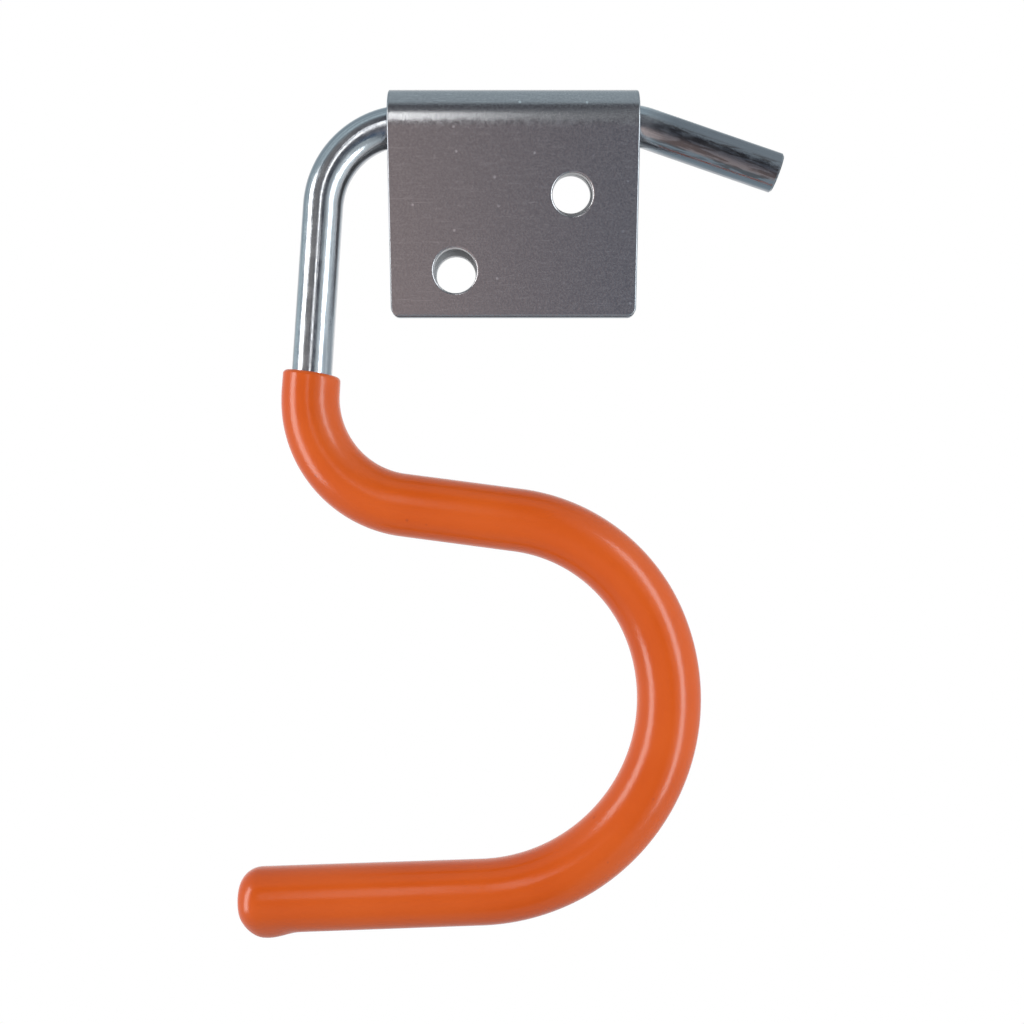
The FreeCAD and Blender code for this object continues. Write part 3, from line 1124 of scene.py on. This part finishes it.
    def build(self, bar: NodeTree, finish: Material) -> Object:
        """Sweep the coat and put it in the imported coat's place.

        Args:
            bar: The bar tree.
            finish: The coat's material.

        Returns:
            The finished piece.
        """
        piece = SweptBar.chain("dipped_coat", self.stations())
        inputs = {
            "Sides": SweptBar.SIDES,
            "Finish": finish,
            "Slant": math.tan(math.radians(self.slant)),
            "Slant Fade": self.slant_fade * MM,
            "Collar Height": self.rod.collar().z * MM,
            "Drip Drop": self.drip_drop * MM,
            "Drip Place": [value * MM for value in self.drip_place],
            "Drip Reach": [value * MM for value in self.drip_reach],
        }
        SweptBar.apply(piece, self.build_tree(bar), inputs)
        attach(piece, Body.HOOK.value)
        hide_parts(Solid.COAT.value)
        return piece


@dataclass
class FoldedPlate:
    """The folded wall plate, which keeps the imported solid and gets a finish."""

    node: Object

    def dress(self, finish: Material) -> Object:
        """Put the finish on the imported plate.

        Args:
            finish: The plate's material.

        Returns:
            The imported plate's object.
        """
        self.node.data.materials.clear()
        self.node.data.materials.append(finish)
        return self.node


@dataclass(frozen=True)
class SoftBox:
    """A soft studio lamp, in metres and watts, that faces the hook."""

    name: str
    place: Triple
    width: float
    height: float
    power: float
    tint: Triple = (1.0, 1.0, 1.0)

    def hang(self, aim: Vector) -> None:
        """Hang the lamp, long in the picture's height.

        Args:
            aim: The place that it faces.
        """
        data = bpy.data.lights.new(self.name, "AREA")
        data.shape = "RECTANGLE"
        data.size = self.width
        data.size_y = self.height
        data.energy = self.power
        data.color = self.tint
        lamp = bpy.data.objects.new(self.name, data)
        place = Vector(self.place)
        back = (place - aim).normalized()
        right = Vector(PICTURE_UP).cross(back).normalized()
        turn = Matrix((right, back.cross(right), back)).transposed().to_4x4()
        lamp.matrix_world = Matrix.Translation(place) @ turn
        lamp.visible_camera = False
        link(lamp)


@dataclass(frozen=True)
class Room:
    """What lies round the hook, by direction: white for the camera, a room for metal, soft fill.

    Each span is the part of a direction's X, Y or Z over which one colour gives way to the next.
    X is the picture's up, Y the way into the wall and Z the picture's left.
    """

    low_right: Linear = (0.08, 0.12, 0.18, 1.0)
    low_left: Linear = (0.61, 0.50, 0.475, 1.0)
    low_turn: Span = (-0.16, 0.16)
    high_right: Linear = (0.10, 0.104, 0.12, 1.0)
    high_left: Linear = (0.23, 0.225, 0.23, 1.0)
    high_turn: Span = (0.15, 0.55)
    rise: Span = (-0.5, 0.2)
    sides: Linear = (0.46, 0.56, 0.61, 1.0)
    sides_turn: Span = (-0.58, -0.42)
    behind_turn: Span = (0.55, 0.97)
    fill: Linear = grey(0.53)
    fill_flank: Linear = grey(0.14)
    flank_turn: Span = (0.2, 0.95)
    fill_rear: Linear = grey(0.95)
    rear_turn: Span = (0.1, 0.9)

    def mirrored(self, wiring: Wiring, axes: Node) -> Socket:
        """Colour the room that metal mirrors.

        Args:
            wiring: The world's wiring.
            axes: The direction, separated.

        Returns:
            The colour's socket.
        """
        up, away, left = axes.outputs
        low = wiring.tint(wiring.step(left, *self.low_turn), self.low_right, self.low_left)
        high = wiring.tint(wiring.step(left, *self.high_turn), self.high_right, self.high_left)
        room = wiring.tint(wiring.step(up, *self.rise), low, high)
        room = wiring.tint(wiring.step(away, *self.sides_turn), room, self.sides)
        return wiring.tint(wiring.step(away, *self.behind_turn), room, WHITE)

    def filling(self, wiring: Wiring, axes: Node) -> Socket:
        """Colour the fill that falls on dull surfaces.

        Args:
            wiring: The world's wiring.
            axes: The direction, separated.

        Returns:
            The colour's socket.
        """
        up, away, _ = axes.outputs
        flank = wiring.step(wiring.compute(Operation.ABSOLUTE, up), *self.flank_turn)
        fill = wiring.tint(flank, self.fill, self.fill_flank)
        return wiring.tint(wiring.step(away, *self.rear_turn), fill, self.fill_rear)

    def build(self) -> None:
        """Make the world."""
        world = bpy.data.worlds.new("studio")
        world.use_nodes = True
        bpy.context.scene.world = world
        wiring = Wiring(world.node_tree)
        ray = wiring.add("ShaderNodeLightPath").outputs
        direction = wiring.add("ShaderNodeTexCoord").outputs["Generated"]
        axes = wiring.add("ShaderNodeSeparateXYZ", {0: direction})
        shown = wiring.highest(ray["Is Glossy Ray"], ray["Is Transmission Ray"])
        light = wiring.tint(shown, self.filling(wiring, axes), self.mirrored(wiring, axes))
        background = world.node_tree.nodes["Background"]
        wiring.feed(background.inputs["Color"], wiring.tint(ray["Is Camera Ray"], light, WHITE))


@dataclass(frozen=True)
class PaleFloor:
    """A pale floor below the hook, in metres, that keeps its shadow and ends in white."""

    height: float = -0.30
    low: Span = (-0.9, -0.9)
    high: Span = (0.8, 0.45)
    colour: Linear = (0.76, 0.85, 0.90, 1.0)
    glow: Span = (0.45, 1.2)
    glow_reach: Span = (0.38, 0.55)

    def build(self) -> None:
        """Lay the floor."""
        mesh = bpy.data.meshes.new("floor")
        (left, front), (right, back) = self.low, self.high
        corners = [(left, front), (right, front), (right, back), (left, back)]
        mesh.from_pydata([(x, y, self.height) for x, y in corners], [], [(0, 1, 2, 3)])
        floor = link(bpy.data.objects.new("floor", mesh))
        material = bpy.data.materials.new("pale_floor")
        material.use_nodes = True
        wiring = Wiring(material.node_tree)
        inputs = material.node_tree.nodes["Principled BSDF"].inputs
        wiring.feed(inputs["Base Color"], self.colour)
        wiring.feed(inputs["Roughness"], 1.0)
        wiring.feed(inputs["Emission Color"], WHITE)
        place = wiring.add("ShaderNodeTexCoord").outputs["Object"]
        apart = wiring.add("ShaderNodeVectorMath", {0: place}, operation="LENGTH")
        glow = wiring.step(apart.outputs["Value"], *self.glow_reach, *self.glow)
        seen = wiring.add("ShaderNodeLightPath").outputs["Is Camera Ray"]
        wiring.feed(inputs["Emission Strength"], wiring.product(seen, glow))
        mesh.materials.append(material)


@dataclass
class Studio:
    """The camera, lamps, world and floor, in metres."""

    aim: Triple = (-0.0565, -0.0068, 0.0003)
    distance: float = 0.27
    focal_pixels: float = 1350.0
    nearest: float = 0.01
    lamps: tuple[SoftBox, ...] = (
        SoftBox("upper_strip", (-0.05, -0.19, 0.48), 0.18, 0.60, 1.85, (1.0, 0.98, 0.96)),
        SoftBox("lower_strip", (-0.05, -0.24, -0.27), 0.10, 0.50, 0.82, (0.93, 0.98, 1.0)),
        SoftBox("front_box", (0.17, -0.62, 0.105), 0.09, 0.30, 0.21),
    )
    room: Room = Room()
    floor: PaleFloor = PaleFloor()

    def build_camera(self) -> None:
        """Place the camera square to the wall, turned so that +X is up in the picture."""
        data = bpy.data.cameras.new("camera")
        data.sensor_width = SENSOR_MM
        data.lens = self.focal_pixels / FRAME_PIXELS * SENSOR_MM
        data.clip_start = self.nearest
        camera = bpy.data.objects.new("camera", data)
        turn = Matrix((PICTURE_RIGHT, PICTURE_UP, OUT_OF_WALL)).transposed().to_4x4()
        place = Vector(self.aim) + Vector(OUT_OF_WALL) * self.distance
        camera.matrix_world = Matrix.Translation(place) @ turn
        bpy.context.scene.camera = link(camera)

    def build(self) -> None:
        """Set up the whole studio."""
        bpy.context.scene.view_settings.view_transform = "Standard"
        self.build_camera()
        for box in self.lamps:
            box.hang(Vector(self.aim))
        self.room.build()
        self.floor.build()


def main() -> None:
    """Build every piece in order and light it."""
    logging.basicConfig(level=logging.INFO, format="%(name)s: %(message)s")
    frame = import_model()
    effects = SharedEffects.build()
    bar = SweptBar.build_tree()
    rod = BentRod()
    coat = DippedCoat(rod)
    plate = FoldedPlate(frame["nodes"][Solid.PLATE.value])
    pieces = [
        rod.build(bar, RodLook().make(effects)),
        coat.build(bar, VinylLook().make(effects)),
        plate.dress(PlateLook().make(effects)),
    ]
    for piece in pieces:
        LOG.info("%s: %d faces", piece.name, len(piece.data.polygons))
    Studio().build()


if __name__ == "__main__":
    main()
